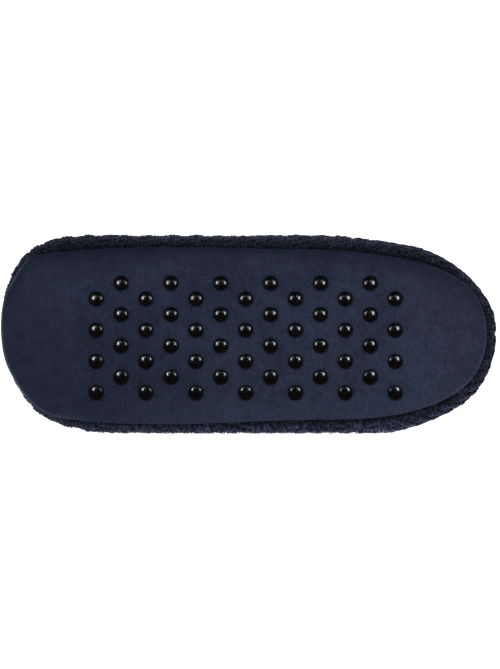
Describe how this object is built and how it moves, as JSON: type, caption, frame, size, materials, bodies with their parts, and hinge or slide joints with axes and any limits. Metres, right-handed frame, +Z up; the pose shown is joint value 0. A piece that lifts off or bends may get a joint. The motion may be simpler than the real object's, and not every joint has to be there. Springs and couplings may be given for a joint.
{
  "type": "slipper sock",
  "caption": "Knitted ankle-high slipper sock for the right foot, with a padded suede sole, round rubber grip dots and a ribbed cuff.",
  "frame": {"origin": "middle of the footprint, on the floor that the sock lies on", "axes": "+X from toe to heel, +Y from the sole up to the collar, +Z up, from the outer to the inner side of the foot"},
  "size_m": [0.2796, 0.103, 0.1123],
  "materials": {
    "suede": "matte brushed microsuede, navy",
    "knit": "matte chunky knit, dark navy",
    "lining": "matte brushed fleece, navy",
    "rubber": "glossy moulded rubber, black"
  },
  "bodies": {
    "root": {"outsole": "suede", "insole": "lining", "upper": "knit", "grip_dot_01": "rubber", "grip_dot_02": "rubber", "grip_dot_03": "rubber", "grip_dot_04": "rubber", "grip_dot_05": "rubber", "grip_dot_06": "rubber", "grip_dot_07": "rubber", "grip_dot_08": "rubber", "grip_dot_09": "rubber", "grip_dot_10": "rubber", "grip_dot_11": "rubber", "grip_dot_12": "rubber", "grip_dot_13": "rubber", "grip_dot_14": "rubber", "grip_dot_15": "rubber", "grip_dot_16": "rubber", "grip_dot_17": "rubber", "grip_dot_18": "rubber", "grip_dot_19": "rubber", "grip_dot_20": "rubber", "grip_dot_21": "rubber", "grip_dot_22": "rubber", "grip_dot_23": "rubber", "grip_dot_24": "rubber", "grip_dot_25": "rubber", "grip_dot_26": "rubber", "grip_dot_27": "rubber", "grip_dot_28": "rubber", "grip_dot_29": "rubber", "grip_dot_30": "rubber", "grip_dot_31": "rubber", "grip_dot_32": "rubber", "grip_dot_33": "rubber", "grip_dot_34": "rubber", "grip_dot_35": "rubber", "grip_dot_36": "rubber", "grip_dot_37": "rubber", "grip_dot_38": "rubber", "grip_dot_39": "rubber", "grip_dot_40": "rubber", "grip_dot_41": "rubber", "grip_dot_42": "rubber", "grip_dot_43": "rubber", "grip_dot_44": "rubber", "grip_dot_45": "rubber", "grip_dot_46": "rubber", "grip_dot_47": "rubber", "grip_dot_48": "rubber", "grip_dot_49": "rubber", "grip_dot_50": "rubber", "grip_dot_51": "rubber", "grip_dot_52": "rubber"}
  },
  "joints": []
}
